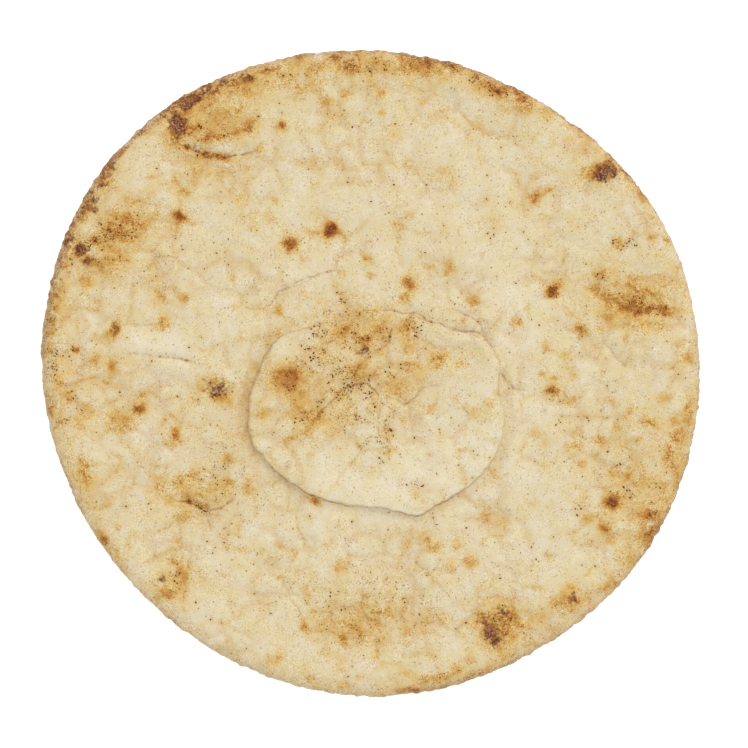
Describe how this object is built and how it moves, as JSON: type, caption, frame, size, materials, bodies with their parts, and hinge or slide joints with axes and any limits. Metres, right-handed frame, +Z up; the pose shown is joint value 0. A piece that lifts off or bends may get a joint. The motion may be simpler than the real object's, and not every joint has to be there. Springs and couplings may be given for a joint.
{
  "type": "pita bread",
  "caption": "Round soft flatbread with a settled blister in the middle, a rounded rim, shallow folds and toasted spots.",
  "frame": {"origin": "middle of the bread's box, on the table under its flat underside", "axes": "+Z up through the bread, +X along its longest width, -Y towards the side where the blister lies nearest the rim"},
  "size_m": [0.1994, 0.196, 0.0092],
  "materials": {
    "crust": "matte"
  },
  "bodies": {
    "root": {"pita": "crust"}
  },
  "joints": []
}
